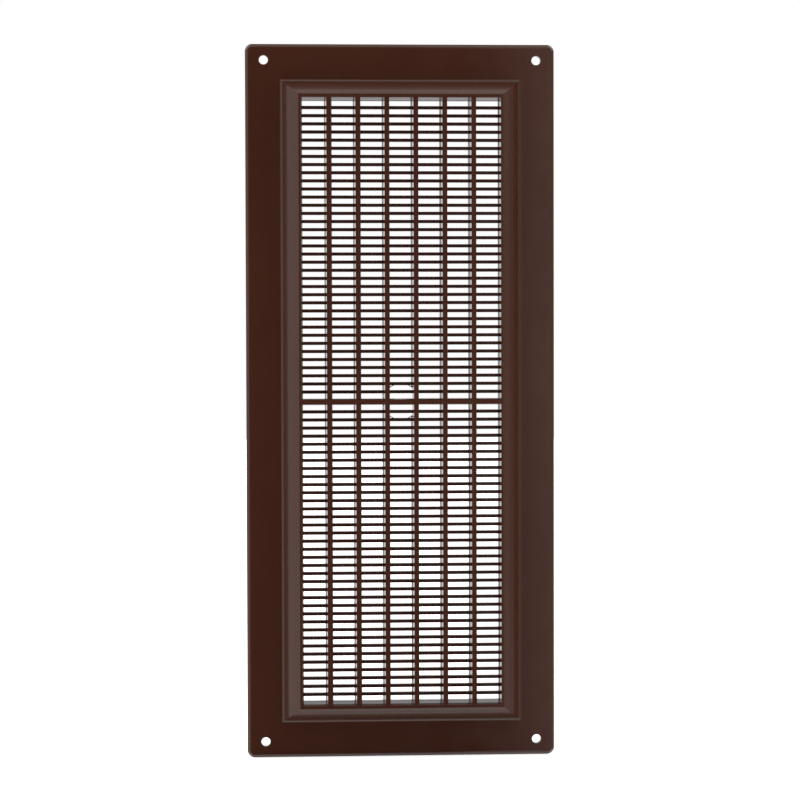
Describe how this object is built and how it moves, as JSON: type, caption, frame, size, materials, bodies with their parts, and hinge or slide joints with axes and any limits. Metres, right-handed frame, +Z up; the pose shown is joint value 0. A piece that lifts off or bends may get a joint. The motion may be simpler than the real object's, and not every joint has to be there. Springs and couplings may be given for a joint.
{
  "type": "ventilation grille",
  "caption": "Upright rectangular plastic ventilation grille: a flat screw flange, a mitred bevelled surround and upright ribs over fine horizontal blades, with a cross bar.",
  "frame": {"origin": "middle of the back of the flange, in the plane that lies on the wall, centred between the four screw holes", "axes": "+X to the right and +Z up as seen from the front, +Y into the wall; the grille faces -Y"},
  "size_m": [0.13, 0.011, 0.3],
  "materials": {
    "brown_plastic": "smooth gloss, chocolate brown"
  },
  "bodies": {
    "root": {"flange": "brown_plastic", "bevel_left": "brown_plastic", "bevel_right": "brown_plastic", "bevel_top": "brown_plastic", "bevel_bottom": "brown_plastic", "throat": "brown_plastic", "rib_1": "brown_plastic", "rib_2": "brown_plastic", "rib_3": "brown_plastic", "rib_4": "brown_plastic", "rib_5": "brown_plastic", "rib_6": "brown_plastic", "cross_bar": "brown_plastic", "gate_ring": "brown_plastic", "blades_upper_1": "brown_plastic", "blades_upper_2": "brown_plastic", "blades_upper_3": "brown_plastic", "blades_upper_4": "brown_plastic", "blades_lower_1": "brown_plastic", "blades_lower_2": "brown_plastic", "blades_lower_3": "brown_plastic", "blades_lower_4": "brown_plastic"}
  },
  "joints": []
}
